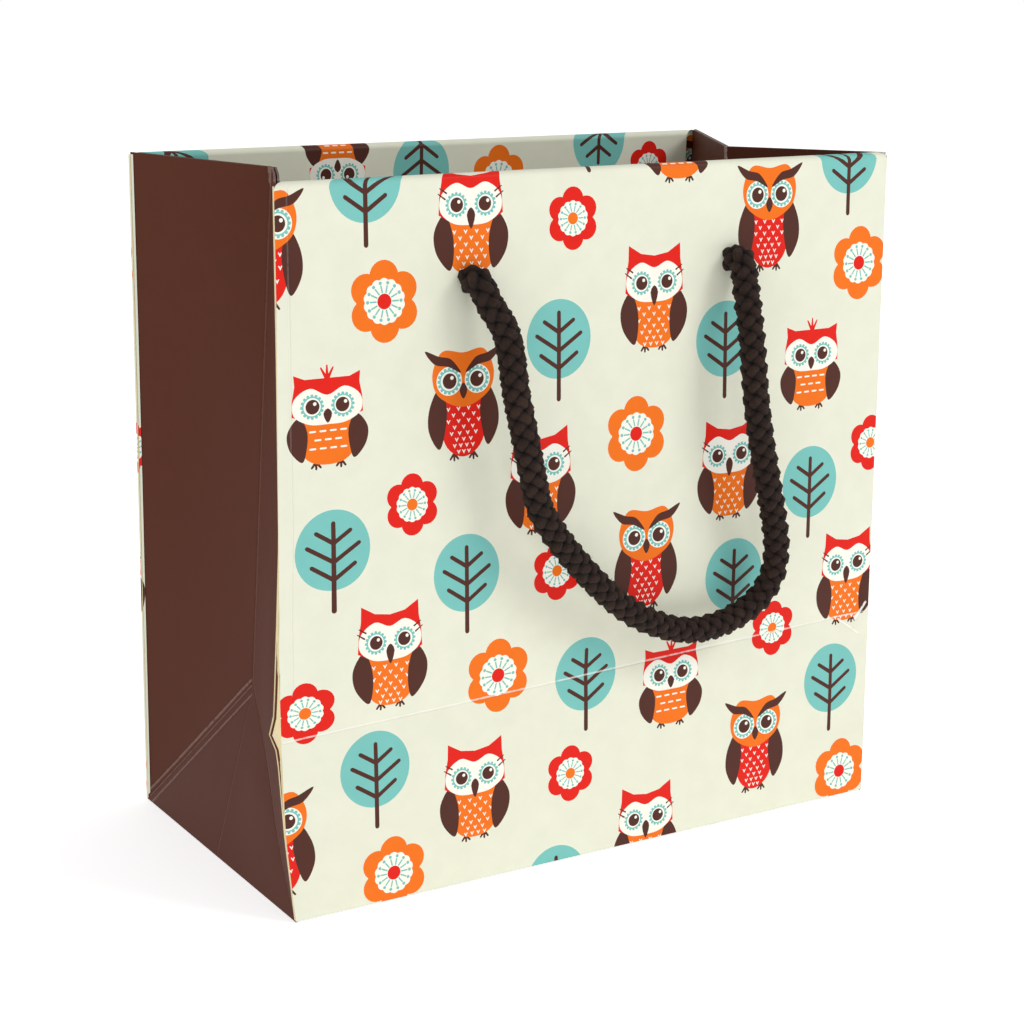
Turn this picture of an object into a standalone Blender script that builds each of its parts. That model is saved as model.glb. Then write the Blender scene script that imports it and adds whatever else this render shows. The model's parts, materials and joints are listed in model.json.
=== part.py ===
"""Small square paper gift bag with two cord handles, standing open with its side gussets creased inwards.

Metres, +Z up. The origin is at the centre of the base on the surface the bag stands on, and -Y is the
front. One folded sheet makes the four sides: it is modelled here as the flat facets between its creases,
so that the bag can be pinched shut at the top. Each side leans about its bottom crease.
"""

import math

import bpy
from mathutils import Matrix, Vector

# Driving dimensions.
WIDTH = 0.140
DEPTH = 0.074
HEIGHT = 0.140
PAPER = 0.0004
TOP_BOARD = 0.0010
BASE_BOARD = 0.0012
GAP = 0.0003
HEM = 0.034  # how far the top edge is turned in
LEAN = math.radians(1.4)  # front and back lean in at rest
CREASE_LEAN = math.radians(14.4)  # the gusset's bottom triangle leans in at rest

# Handles.
CORD_RADIUS = 0.0028
HOLE_RADIUS = 0.0031
HOLE_X = 0.0304
HOLE_UP = 0.1203
PIVOT_OUT = 0.0036  # the cord bends about this line, in front of the panel's face
KNOT_RADIUS = 0.0060
KNOT_LENGTH = 0.0115
CIRCLE_POINTS = 32
CORD_STEP = 0.008

# Clearances at the creases.
CREASE = 0.0005
CORNER = 0.0026  # the creased gusset swings past the panel's edge as the bag closes
HEM_CORNER = 0.0045
BOARD_INSET = 0.0100
FLAP_INSET = 0.0012

CREAM = (0.87, 0.85, 0.72)
BROWN = (0.075, 0.025, 0.018)
GREYBOARD = (0.52, 0.47, 0.38)
CORD_BROWN = (0.022, 0.012, 0.009)

# The loop's route on the front panel: (across, up from the bottom crease, out from the panel's face).
LOOP_ROUTE = [
    (-0.0304, 0.1203, 0.0036),
    (-0.0292, 0.1164, 0.0052),
    (-0.0269, 0.1116, 0.0069),
    (-0.0261, 0.1066, 0.0079),
    (-0.0255, 0.1000, 0.0085),
    (-0.0239, 0.0920, 0.0089),
    (-0.0221, 0.0840, 0.0089),
    (-0.0203, 0.0770, 0.0087),
    (-0.0160, 0.0705, 0.0084),
    (-0.0099, 0.0636, 0.0079),
    (-0.0035, 0.0574, 0.0073),
    (0.0026, 0.0526, 0.0068),
    (0.0089, 0.0492, 0.0064),
    (0.0152, 0.0470, 0.0062),
    (0.0214, 0.0464, 0.0062),
    (0.0277, 0.0475, 0.0063),
    (0.0337, 0.0504, 0.0066),
    (0.0374, 0.0554, 0.0071),
    (0.0380, 0.0616, 0.0076),
    (0.0366, 0.0685, 0.0081),
    (0.0345, 0.0760, 0.0086),
    (0.0325, 0.0840, 0.0088),
    (0.0310, 0.0920, 0.0088),
    (0.0302, 0.1000, 0.0085),
    (0.0298, 0.1070, 0.0078),
    (0.0298, 0.1122, 0.0066),
    (0.0301, 0.1166, 0.0051),
    (0.0304, 0.1203, 0.0036),
]


def clear_scene():
    for old in list(bpy.data.objects):
        bpy.data.objects.remove(old)


def paint(name, colour, roughness):
    material = bpy.data.materials.new(name)
    material.use_nodes = True
    shader = material.node_tree.nodes["Principled BSDF"]
    shader.inputs["Base Color"].default_value = (*colour, 1)
    shader.inputs["Roughness"].default_value = roughness
    shader.inputs["Metallic"].default_value = 0
    return material


def new_collection(name):
    made = bpy.data.collections.new(name)
    bpy.context.scene.collection.children.link(made)
    return made


def place(obj, collection, parent, frame):
    """Puts obj at frame, given in its parent's axes."""
    collection.objects.link(obj)
    obj.parent = parent
    obj.matrix_basis = frame
    return obj


def axis_empty(name, collection, frame, parent=None):
    return place(bpy.data.objects.new(name, None), collection, parent, frame)


def circle(across, up, radius):
    turns = [2 * math.pi * i / CIRCLE_POINTS for i in range(CIRCLE_POINTS)]
    return [(across + radius * math.cos(t), up + radius * math.sin(t)) for t in turns]


def sheet(name, outline, thickness, material, holes=()):
    """A flat piece in its own XY plane, half its thickness each side of it."""
    curve = bpy.data.curves.new(name, "CURVE")
    curve.dimensions = "2D"
    curve.fill_mode = "BOTH"
    curve.extrude = thickness / 2
    for loop in (outline, *holes):
        spline = curve.splines.new("POLY")
        spline.points.add(len(loop) - 1)
        for point, (x, y) in zip(spline.points, loop):
            point.co = (x, y, 0, 1)
        spline.use_cyclic_u = True
    curve.materials.append(material)
    return bpy.data.objects.new(name, curve)


def rectangle(left, right, bottom, top):
    return [(left, bottom), (right, bottom), (right, top), (left, top)]


def turned(name, profile, material):
    """A round solid about its own Z, from (radius, height) points listed from top to bottom."""
    mesh = bpy.data.meshes.new(name)
    points = [(radius, 0, height) for radius, height in profile]
    mesh.from_pydata(points, [(i, i + 1) for i in range(len(points) - 1)], [])
    mesh.materials.append(material)
    obj = bpy.data.objects.new(name, mesh)
    screw = obj.modifiers.new("Turn", "SCREW")
    screw.steps = screw.render_steps = CIRCLE_POINTS
    screw.use_merge_vertices = True
    screw.merge_threshold = 0.00001
    screw.use_smooth_shade = True
    return obj


def smooth_route(route, step):
    """Points about step apart on a Catmull-Rom curve through the route."""
    points = [Vector(p) for p in route]
    ends = [2 * points[0] - points[1], *points, 2 * points[-1] - points[-2]]
    fine = []
    for before, start, end, after in zip(ends, ends[1:], ends[2:], ends[3:]):
        for i in range(16):
            t = i / 16
            fine.append(
                0.5
                * (
                    2 * start
                    + (end - before) * t
                    + (2 * before - 5 * start + 4 * end - after) * t**2
                    + (3 * start - before - 3 * end + after) * t**3
                )
            )
    fine.append(points[-1])
    lengths = [0.0]
    for a, b in zip(fine, fine[1:]):
        lengths.append(lengths[-1] + (b - a).length)
    clear = PIVOT_OUT - GAP  # the ends stop this far from the bend's axis
    count = round((lengths[-1] - 2 * clear) / step)
    wanted = [clear + (lengths[-1] - 2 * clear) * i / count for i in range(count + 1)]
    found = []
    for length in wanted:
        i = max(k for k in range(len(fine) - 1) if lengths[k] <= length)
        share = (length - lengths[i]) / (lengths[i + 1] - lengths[i])
        found.append(fine[i].lerp(fine[i + 1], share))
    return found


def cord(name, points, material):
    curve = bpy.data.curves.new(name, "CURVE")
    curve.dimensions = "3D"
    curve.bevel_depth = CORD_RADIUS
    curve.bevel_resolution = 3
    curve.use_fill_caps = True
    spline = curve.splines.new("POLY")
    spline.points.add(len(points) - 1)
    for point, co in zip(spline.points, points):
        point.co = (*co, 1)
    curve.materials.append(material)
    return bpy.data.objects.new(name, curve)


def knot_profile():
    """The cord's end: through the hole from the bend's axis, then the stopper knot behind the hem."""
    inside = -(2 * PAPER + TOP_BOARD + 2 * GAP) - GAP
    shape = [(0.72, 0.04), (0.95, 0.22), (1.0, 0.45), (0.95, 0.70), (0.70, 0.92)]
    bulge = [(KNOT_RADIUS * r, inside - KNOT_LENGTH * h) for r, h in shape]
    stub = [(0, PIVOT_OUT), (CORD_RADIUS, PIVOT_OUT), (CORD_RADIUS, inside)]
    return [*stub, *bulge, (0, inside - KNOT_LENGTH)]


def panel_side(side, turn, paints, parts):
    """Front or back: the printed panel with its top edge turned in over a board, and its handle."""
    hinge = Matrix.Translation((0, -DEPTH / 2, 0)) @ Matrix.Rotation(math.pi / 2 - LEAN, 4, "X")
    lean = axis_empty(f"{side}_lean_axis", parts, turn @ hinge)
    holes = [circle(x, HOLE_UP, HOLE_RADIUS) for x in (-HOLE_X, HOLE_X)]
    half = WIDTH / 2 - CREASE
    inner = half - BOARD_INSET
    layers = [
        ("panel", rectangle(-half, half, CREASE, HEIGHT), PAPER, "print"),
        ("top_board", rectangle(-inner, inner, HEIGHT - HEM, HEIGHT - GAP), TOP_BOARD, "board"),
        ("hem", rectangle(-inner, inner, HEIGHT - HEM, HEIGHT), PAPER, "print"),
    ]
    depth = 0
    for name, outline, thickness, colour in layers:
        layer = sheet(f"{side}_{name}", outline, thickness, paints[colour], holes)
        place(layer, parts, lean, Matrix.Translation((0, 0, -depth - thickness / 2)))
        depth += thickness + GAP
    for hand, x in (("left", -HOLE_X), ("right", HOLE_X)):
        knot = turned(f"{side}_{hand}_knot", knot_profile(), paints["cord"])
        place(knot, parts, lean, Matrix.Translation((x, HOLE_UP, 0)))
    pivot = Matrix.Translation((0, HOLE_UP, PIVOT_OUT))
    swing = axis_empty(f"{side}_handle_axis", parts, pivot, lean)
    points = [p - Vector((0, HOLE_UP, PIVOT_OUT)) for p in smooth_route(LOOP_ROUTE, CORD_STEP)]
    place(cord(f"{side}_handle_cord", points, paints["cord"]), parts, swing, Matrix.Identity(4))


def inset(outline, margins):
    """A convex outline, anticlockwise, with each side moved in by its own margin."""
    count = len(outline)
    lines = []
    for i, margin in enumerate(margins):
        start, end = Vector(outline[i]), Vector(outline[(i + 1) % count])
        along = (end - start).normalized()
        lines.append((start + margin * Vector((-along.y, along.x)), along))
    moved = []
    for i in range(count):
        (p, u), (q, v) = lines[i - 1], lines[i]
        cross = u.x * v.y - u.y * v.x
        reach = ((q.x - p.x) * v.y - (q.y - p.y) * v.x) / cross
        moved.append(tuple(p + reach * u))
    return moved


def facet(name, corners, margins, depth, material):
    """A flat piece of paper between corners given anticlockwise as seen from outside the bag, and its frame.

    Its outer face is depth inside the plane of the corners."""
    origin = Vector(corners[0])
    along = (Vector(corners[1]) - origin).normalized()
    outward = along.cross(Vector(corners[2]) - origin).normalized()
    across = outward.cross(along)
    flat = [((Vector(c) - origin).dot(along), (Vector(c) - origin).dot(across)) for c in corners]
    frame = Matrix((along, across, outward)).transposed().to_4x4()
    frame.translation = origin - outward * (depth + PAPER / 2)
    return sheet(name, inset(flat, margins), PAPER, material), frame


def gusset_points():
    """The left gusset's corners at rest.

    They are the base, the top of the panel's edge, the top of the crease, and the foot of the crease.

    The gusset's middle leans in by the angle that keeps each half's top edge as long as half the depth."""
    ratio = DEPTH / (2 * HEIGHT)
    middle_lean = math.acos((1 - ratio * math.sin(LEAN)) / math.cos(LEAN))
    left = -WIDTH / 2
    top_in = DEPTH / 2 - HEIGHT * math.sin(LEAN)
    base = Vector((left, DEPTH / 2, 0))
    edge_top = Vector((left, top_in, HEIGHT * math.cos(LEAN)))
    crease_top = Vector((left + HEIGHT * math.sin(middle_lean), 0, HEIGHT * math.cos(middle_lean)))
    crease_foot = Vector((left + DEPTH / 2 * math.sin(CREASE_LEAN), 0, DEPTH / 2 * math.cos(CREASE_LEAN)))
    return base, edge_top, crease_top, crease_foot


def gusset_side(side, turn, halves, paints, parts):
    """One side gusset: a middle that leans on the base's edge, and an outer facet hinged to each half."""
    base, edge_top, crease_top, crease_foot = gusset_points()
    mirror = Matrix.Scale(-1, 4, Vector((0, 1, 0)))
    middle = axis_empty(f"{side}_gusset_axis", parts, turn @ Matrix.Translation((-WIDTH / 2, 0, 0)))
    hem_low = 1 - HEM / HEIGHT
    diagonal_low = base.lerp(crease_top, hem_low)
    share = (diagonal_low.z - crease_foot.z) / (crease_top.z - crease_foot.z)
    crease_low = crease_foot.lerp(crease_top, share)
    hem_depth = PAPER + GAP

    def add(name, corners, margins, depth, colour, parent, mirrored):
        if mirrored:
            corners = [mirror @ c for c in corners][::-1]
            margins = margins[-2::-1] + margins[-1:]
        piece, frame = facet(name, corners, margins, depth, paints[colour])
        place(piece, parts, parent, parent.matrix_world.inverted() @ turn @ frame)

    bpy.context.view_layer.update()
    triangle = [base, mirror @ base, crease_foot]
    add(f"{side}_gusset_triangle", triangle, [CREASE] * 3, 0, "gusset", middle, False)
    for half, mirrored in halves:
        corner = mirror @ base if mirrored else base
        hinge = axis_empty(f"{side}_gusset_{half}_axis", parts, turn @ Matrix.Translation(corner))
        bpy.context.view_layer.update()
        inner = [base, crease_foot, crease_top]
        add(f"{side}_gusset_{half}_inner", inner, [CREASE] * 3, 0, "gusset", middle, mirrored)
        outer = [base, crease_top, edge_top]
        add(f"{side}_gusset_{half}_outer", outer, [CREASE, 0, CORNER], 0, "gusset", hinge, mirrored)
        inner_hem = [diagonal_low, crease_low, crease_top]
        margins = [0, 2 * CREASE, CREASE]
        add(f"{side}_hem_{half}_inner", inner_hem, margins, hem_depth, "gusset", middle, mirrored)
        edge_low = base.lerp(edge_top, hem_low)
        outer_hem = [diagonal_low, crease_top, edge_top, edge_low]
        margins = [CREASE, 0, HEM_CORNER, 0]
        add(f"{side}_hem_{half}_outer", outer_hem, margins, hem_depth, "gusset", hinge, mirrored)


def bottom(paints, parts):
    """The glued bottom, from outside in: the back flap, the front flap, two side flaps and a board."""
    half_x, half_y = WIDTH / 2 - FLAP_INSET, DEPTH / 2 - FLAP_INSET
    reach, cut = 0.052, 0.008
    long_flap = [
        (-half_x, half_y),
        (-half_x, half_y - reach + cut),
        (-half_x + cut, half_y - reach),
        (half_x - cut, half_y - reach),
        (half_x, half_y - reach + cut),
        (half_x, half_y),
    ]
    side_reach = 0.034
    side_flap = [
        (-half_x, -half_y),
        (-half_x + side_reach, -half_y + side_reach / 2),
        (-half_x + side_reach, half_y - side_reach / 2),
        (-half_x, half_y),
    ]
    half_turn = Matrix.Rotation(math.pi, 4, "Z")
    step = PAPER + GAP
    layers = [
        ("bottom_flap_back", long_flap, 0, Matrix.Identity(4), "print"),
        ("bottom_flap_front", long_flap, step, half_turn, "print"),
        ("bottom_flap_left", side_flap, 2 * step, Matrix.Identity(4), "gusset"),
        ("bottom_flap_right", side_flap, 2 * step, half_turn, "gusset"),
    ]
    for name, outline, height, turn, colour in layers:
        flap = sheet(name, outline, PAPER, paints[colour])
        place(flap, parts, None, Matrix.Translation((0, 0, height + PAPER / 2)) @ turn)
    board_x, board_y = half_x - 0.0010, half_y - 0.0010
    board = sheet("base_board", rectangle(-board_x, board_x, -board_y, board_y), BASE_BOARD, paints["board"])
    place(board, parts, None, Matrix.Translation((0, 0, 3 * step + BASE_BOARD / 2)))


def main():
    clear_scene()
    parts = new_collection("gift_bag")
    paints = {
        "print": paint("printed_paper", CREAM, 0.35),
        "gusset": paint("gusset_paper", BROWN, 0.38),
        "board": paint("greyboard", GREYBOARD, 0.9),
        "cord": paint("braided_cord", CORD_BROWN, 0.85),
    }
    straight, half_turn = Matrix.Identity(4), Matrix.Rotation(math.pi, 4, "Z")
    bottom(paints, parts)
    panel_side("front", straight, paints, parts)
    panel_side("back", half_turn, paints, parts)
    gusset_side("left", straight, [("back", False), ("front", True)], paints, parts)
    gusset_side("right", half_turn, [("front", False), ("back", True)], paints, parts)


main()
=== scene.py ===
"""Looks for the small paper gift bag: printed sheet, creased brown gussets and braided cord handles.

Lengths in this file are in millimetres until they are placed, and MM turns them into metres."""

import json
import math

import bpy
import numpy as np
from mathutils import Matrix, Vector, noise
from mathutils.geometry import delaunay_2d_cdt

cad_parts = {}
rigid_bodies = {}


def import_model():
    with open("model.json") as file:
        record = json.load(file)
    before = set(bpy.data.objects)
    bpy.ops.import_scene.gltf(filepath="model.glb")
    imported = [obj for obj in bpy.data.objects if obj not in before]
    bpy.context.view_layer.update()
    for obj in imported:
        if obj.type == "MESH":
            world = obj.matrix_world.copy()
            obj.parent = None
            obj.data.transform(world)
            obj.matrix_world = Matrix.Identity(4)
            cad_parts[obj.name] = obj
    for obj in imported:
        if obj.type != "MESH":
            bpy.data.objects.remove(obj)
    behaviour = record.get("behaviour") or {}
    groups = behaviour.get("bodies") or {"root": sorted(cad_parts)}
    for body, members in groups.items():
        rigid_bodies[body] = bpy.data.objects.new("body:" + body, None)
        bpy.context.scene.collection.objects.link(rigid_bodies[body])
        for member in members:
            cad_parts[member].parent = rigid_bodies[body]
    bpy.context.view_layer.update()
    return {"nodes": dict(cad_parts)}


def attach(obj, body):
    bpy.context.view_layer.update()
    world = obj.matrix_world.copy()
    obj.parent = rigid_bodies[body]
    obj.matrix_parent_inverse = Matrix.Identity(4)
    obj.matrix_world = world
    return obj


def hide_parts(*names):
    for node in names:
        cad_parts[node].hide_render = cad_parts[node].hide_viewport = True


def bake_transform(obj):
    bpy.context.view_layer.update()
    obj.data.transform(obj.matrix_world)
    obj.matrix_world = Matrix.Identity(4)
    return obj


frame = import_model()

MM = 0.001
WIDTH, DEPTH, HEIGHT = 140, 74, 140
LEAN = math.radians(1.4)
CREASE_LEAN = math.radians(14.4)
TOP_THICK = 2.4  # panel, board and hem together
FOLD = TOP_THICK / 2
HEM = 34
TILE = 112  # the print repeats this far across and up
PAPER = 0.4
CORD_RADIUS = 2.8
STEP = 0.62  # between the points along a cord
INNER_END = -3.4  # where the loop ends behind the panel, out from its face
KNOT_OUT = -8.3  # the middle of a knot, out from the panel's face
HOLE_X, HOLE_UP = 30.4, 120.3

# Height, then how far the printed side and the gusset bulge out at the front left corner.
CORNER_BULGE = [
    (0, 0, 0),
    (17, 1.5, 1.6),
    (32, 1.9, 2.5),
    (36.2, 1.9, 3.0),
    (37.7, 1.9, 4.1),
    (38.7, 1.9, 4.1),
    (40.1, 1.9, 3.3),
    (45, 1.9, 2.9),
    (60, 1.7, 1.9),
    (75, 0.9, 1.0),
    (110, 0.3, 0.35),
    (141, 0, 0),
]
BULGE_REACH = 16  # the printed side is flat again this far from its edge
GUSSET_REACH = 0.7  # and the gusset at this share of the way to its middle crease

# The loop's route on a panel: (across, up from the bottom crease, out from the panel's face).
LOOP_ROUTE = [
    (-30.4, 120.3, 3.6),
    (-29.2, 116.4, 5.2),
    (-26.9, 111.6, 6.9),
    (-26.1, 106.6, 7.9),
    (-25.5, 100.0, 8.5),
    (-23.9, 92.0, 8.9),
    (-22.1, 84.0, 8.9),
    (-20.3, 77.0, 8.7),
    (-16.0, 70.5, 8.4),
    (-9.9, 63.6, 7.9),
    (-3.5, 57.4, 7.3),
    (2.6, 52.6, 6.8),
    (8.9, 49.2, 6.4),
    (15.2, 47.0, 6.2),
    (21.4, 46.4, 6.2),
    (27.7, 47.5, 6.3),
    (33.7, 50.4, 6.6),
    (37.4, 55.4, 7.1),
    (38.0, 61.6, 7.6),
    (36.6, 68.5, 8.1),
    (34.5, 76.0, 8.6),
    (32.5, 84.0, 8.8),
    (31.0, 92.0, 8.8),
    (30.2, 100.0, 8.5),
    (29.8, 107.0, 7.8),
    (29.8, 112.2, 6.6),
    (30.1, 116.6, 5.1),
    (30.4, 120.3, 3.6),
]

HALF_TURN = Matrix.Rotation(math.pi, 3, "Z")
SIDES = {"front": Matrix.Identity(3), "back": HALF_TURN, "left": Matrix.Identity(3), "right": HALF_TURN}


# ---------------------------------------------------------------- materials


def linear(r, g, b):
    """sRGB 0-255 as a linear colour."""
    out = []
    for value in (r, g, b):
        c = value / 255
        out.append(c / 12.92 if c <= 0.04045 else ((c + 0.055) / 1.055) ** 2.4)
    return (*out, 1)


class Nodes:
    """A material's node tree, with short calls for the nodes used here."""

    def __init__(self, name):
        self.material = bpy.data.materials.new(name)
        self.material.use_nodes = True
        self.tree = self.material.node_tree
        self.shader = self.tree.nodes["Principled BSDF"]

    def add(self, kind, **settings):
        node = self.tree.nodes.new(kind)
        for key, value in settings.items():
            setattr(node, key, value)
        return node

    def feed(self, socket, value):
        if isinstance(value, bpy.types.NodeSocket):
            self.tree.links.new(value, socket)
        else:
            socket.default_value = value

    def math(self, operation, a, b=0.0):
        node = self.add("ShaderNodeMath", operation=operation)
        for socket, value in zip(node.inputs, (a, b)):
            self.feed(socket, value)
        return node.outputs[0]

    def ramp(self, value, low, high):
        """0 at low to 1 at high, smoothly; high may be below low."""
        node = self.add("ShaderNodeMapRange", interpolation_type="SMOOTHSTEP")
        self.feed(node.inputs["Value"], value)
        self.feed(node.inputs["From Min"], min(low, high))
        self.feed(node.inputs["From Max"], max(low, high))
        self.feed(node.inputs["To Min"], 0.0 if low < high else 1.0)
        self.feed(node.inputs["To Max"], 1.0 if low < high else 0.0)
        return node.outputs["Result"]

    def noise(self, vector, scale, detail=3.0, rough=0.55):
        node = self.add("ShaderNodeTexNoise")
        self.feed(node.inputs["Vector"], vector)
        self.feed(node.inputs["Scale"], scale)
        self.feed(node.inputs["Detail"], detail)
        self.feed(node.inputs["Roughness"], rough)
        return node.outputs["Fac"]

    def blend(self, factor, a, b):
        node = self.add("ShaderNodeMix", data_type="RGBA")
        self.feed(node.inputs[0], factor)
        self.feed(node.inputs[6], a)
        self.feed(node.inputs[7], b)
        return node.outputs[2]

    def bump(self, height, strength, distance):
        node = self.add("ShaderNodeBump")
        self.feed(node.inputs["Strength"], strength)
        self.feed(node.inputs["Distance"], distance)
        self.feed(node.inputs["Height"], height)
        return node.outputs[0]

    def flat(self):
        """The piece's own flat coordinates; on a sheet they are millimetres over 100."""
        return self.add("ShaderNodeUVMap", uv_map="flat").outputs[0]

    def line(self, uv, start, end, width, reach=1.0):
        """A mask along the line from start to end, in millimetres, fading beyond its ends."""
        a, b = Vector((*start, 0)) / 100, Vector((*end, 0)) / 100
        along = (b - a).normalized()
        across = Vector((-along.y, along.x, 0))
        middle, half = (a + b) / 2, (b - a).length / 2
        offset = self.add("ShaderNodeVectorMath", operation="SUBTRACT")
        self.feed(offset.inputs[0], uv)
        self.feed(offset.inputs[1], middle)
        found = []
        for direction in (across, along):
            dot = self.add("ShaderNodeVectorMath", operation="DOT_PRODUCT")
            self.feed(dot.inputs[0], offset.outputs[0])
            self.feed(dot.inputs[1], direction)
            found.append(self.math("ABSOLUTE", dot.outputs["Value"]))
        near = self.ramp(found[0], width / 100, 0.25 * width / 100)
        inside = self.ramp(found[1], half + reach / 100, half - reach / 100)
        return self.math("MULTIPLY", near, inside)


def coated_paper(name, colour, worn, lines, roughness=0.36, grain=0.012, gloss=0.5):
    """Laminated printed paper: faint fibre grain, slight cockling, and creases whose coating has cracked.

    lines are (start, end, width, strength) on the sheet, in millimetres."""
    n = Nodes(name)
    uv = n.flat()
    cockle = n.noise(uv, 3.1, 2.0)
    fibre = n.noise(uv, 210.0, 2.0, 0.7)
    mottle = n.noise(uv, 17.0, 4.0)
    shade = n.ramp(mottle, 0.15, 0.9)
    darker = tuple(c * 0.94 for c in colour[:3]) + (1,)
    base = n.blend(shade, darker, colour)
    flakes = n.noise(uv, 95.0, 5.0, 0.75)
    mask, dents = None, None
    for start, end, width, strength in lines:
        near = n.line(uv, start, end, width)
        cut = n.math("ADD", n.math("MULTIPLY", near, 0.55), n.math("MULTIPLY", flakes, 0.9))
        crack = n.math("MULTIPLY", n.ramp(cut, 0.80, 0.98), strength)
        crack = n.math("MULTIPLY", crack, n.ramp(near, 0.0, 0.35))
        mask = crack if mask is None else n.math("MAXIMUM", mask, crack)
        dents = near if dents is None else n.math("MAXIMUM", dents, near)
    if mask is not None:
        base = n.blend(mask, base, worn)
    n.feed(n.shader.inputs["Base Color"], base)
    rough = n.math("ADD", n.math("MULTIPLY", mottle, 0.10), roughness - 0.05)
    if mask is not None:
        rough = n.math("ADD", rough, n.math("MULTIPLY", mask, 0.3))
    n.feed(n.shader.inputs["Roughness"], rough)
    n.feed(n.shader.inputs["Specular IOR Level"], gloss)
    height = n.math("ADD", n.math("MULTIPLY", fibre, grain), n.math("MULTIPLY", cockle, 0.5))
    if dents is not None:
        height = n.math("SUBTRACT", height, n.math("MULTIPLY", dents, 0.22))
    n.feed(n.shader.inputs["Normal"], n.bump(height, 0.5, 0.0009))
    return n.material


def plain_paper(name, colour, roughness=0.85, scale=400.0):
    """Uncoated paper or board, with its fibres."""
    n = Nodes(name)
    place = n.add("ShaderNodeTexCoord").outputs["Object"]
    fibre = n.noise(place, scale * 4, 4.0, 0.7)
    patch = n.noise(place, scale / 8, 3.0)
    light = tuple(min(1, c * 1.05) for c in colour[:3]) + (1,)
    dark = tuple(c * 0.86 for c in colour[:3]) + (1,)
    mixed = n.math("ADD", n.math("MULTIPLY", fibre, 0.6), n.math("MULTIPLY", patch, 0.4))
    n.feed(n.shader.inputs["Base Color"], n.blend(n.ramp(mixed, 0.3, 0.7), dark, light))
    n.feed(n.shader.inputs["Roughness"], roughness)
    n.feed(n.shader.inputs["Normal"], n.bump(fibre, 0.25, 0.0002))
    return n.material


def yarn(name, dark, light):
    """Spun polypropylene yarn: fine strands along each ply and lighter dusty patches, with painted shade
    darkening the gaps between the raised plies.
    """
    n = Nodes(name)
    uv = n.flat()
    stretch = n.add("ShaderNodeMapping")
    n.feed(stretch.inputs["Vector"], uv)
    stretch.inputs["Scale"].default_value = (7.0, 0.9, 1)
    stretch.inputs["Rotation"].default_value = (0, 0, 0.35)
    strands = n.noise(stretch.outputs[0], 4.0, 4.0, 0.7)
    place = n.add("ShaderNodeTexCoord").outputs["Object"]
    lint = n.noise(place, 2600.0, 4.0, 0.8)
    patch = n.noise(place, 160.0, 3.0)
    share = n.math("ADD", n.math("MULTIPLY", strands, 0.6), n.math("MULTIPLY", lint, 0.4))
    base = n.blend(n.ramp(share, 0.40, 0.78), dark, light)
    base = n.blend(n.math("MULTIPLY", n.ramp(patch, 0.5, 0.8), 0.35), base, light)
    raised = n.add("ShaderNodeAttribute", attribute_name="raised").outputs["Fac"]
    # Painted shade: the low points between the plies, found from the raised attribute, are blended to near
    # black.
    base = n.blend(n.ramp(raised, 0.98, 0.72), base, linear(9, 5, 4))
    n.feed(n.shader.inputs["Base Color"], base)
    n.feed(n.shader.inputs["Roughness"], n.ramp(share, -1.6, 0.9))
    n.shader.inputs["Sheen Weight"].default_value = 0.12
    n.shader.inputs["Sheen Roughness"].default_value = 0.45
    n.shader.inputs["Sheen Tint"].default_value = linear(150, 120, 105)
    n.shader.inputs["Specular IOR Level"].default_value = 0.35
    n.feed(n.shader.inputs["Normal"], n.bump(share, 0.9, 0.00035))
    return n.material


CREASE_UP = (36.5, 41.5)  # the front crease, at its left and right ends
CREAM = linear(233, 234, 214)
WORN = linear(250, 247, 240)
PRINT_LINES = [
    ((-70, CREASE_UP[0]), (70, CREASE_UP[1]), 0.40, 0.5),
    ((-67.6, 45), (-67.6, 139), 0.35, 0.06),
    ((66, 39.3), (69.5, 44), 0.6, 0.8),
    ((61.5, 41), (68, 36.4), 0.5, 0.7),
]
PRINT_COLOURS = {
    "cream": CREAM,
    "orange": linear(244, 118, 30),
    "red": linear(228, 36, 26),
    "teal": linear(124, 197, 190),
    "brown": linear(84, 48, 40),
    "white": linear(250, 248, 236),
}
PRINT = [
    coated_paper(f"print_{ink}", colour, WORN, PRINT_LINES, roughness=0.42, grain=0.012, gloss=0.10)
    for ink, colour in PRINT_COLOURS.items()
]
INK = list(PRINT_COLOURS)
BROWN = linear(91, 50, 37)
GUSSET_LINES = [
    ((36.8, 1.6), (0.4, 37.4), 0.55, 0.34),
    ((36.2, 0.5), (0.2, 36.2), 0.35, 0.26),
    ((34.9, -0.4), (-0.6, 34.6), 0.55, 0.32),
    ((-37, 0), (0, 36.4), 0.4, 0.20),
    ((0, 36.4), (0, 0), 0.3, 0.10),
    ((0, 36), (0, 140), 0.8, 0.10),
    ((-34.5, 131), (-31, 141), 3.2, 0.42),
    ((-1.5, 133), (0.6, 141), 1.6, 0.4),
]
GUSSET = coated_paper(
    "gusset_brown", BROWN, linear(168, 146, 136), GUSSET_LINES, roughness=0.38, grain=0.016, gloss=0.05
)
RIGHT_LINES = [((0, 30), (0, 141), 0.9, 0.75), *GUSSET_LINES[:5]]
GUSSET_RIGHT = coated_paper(
    "gusset_brown_right", BROWN, linear(190, 172, 162), RIGHT_LINES, roughness=0.38, grain=0.016, gloss=0.05
)
INSIDE = plain_paper("uncoated_inside", linear(232, 229, 220))
BOARD = plain_paper("greyboard", linear(186, 178, 160), 0.92, 260.0)
# Painted shade: a darker yellow-cream standing for the printed sheet turned away from the light at its edges.
SHADED_EDGE = plain_paper("cut_edge_painted_shade", linear(233, 217, 170), 0.7, 900.0)
YARN = yarn("cord_yarn", linear(30, 17, 12), linear(84, 57, 43))
FIBRE = plain_paper("cord_fibre", linear(52, 36, 30), 0.9, 900.0)


# ---------------------------------------------------------------- print motifs


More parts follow.
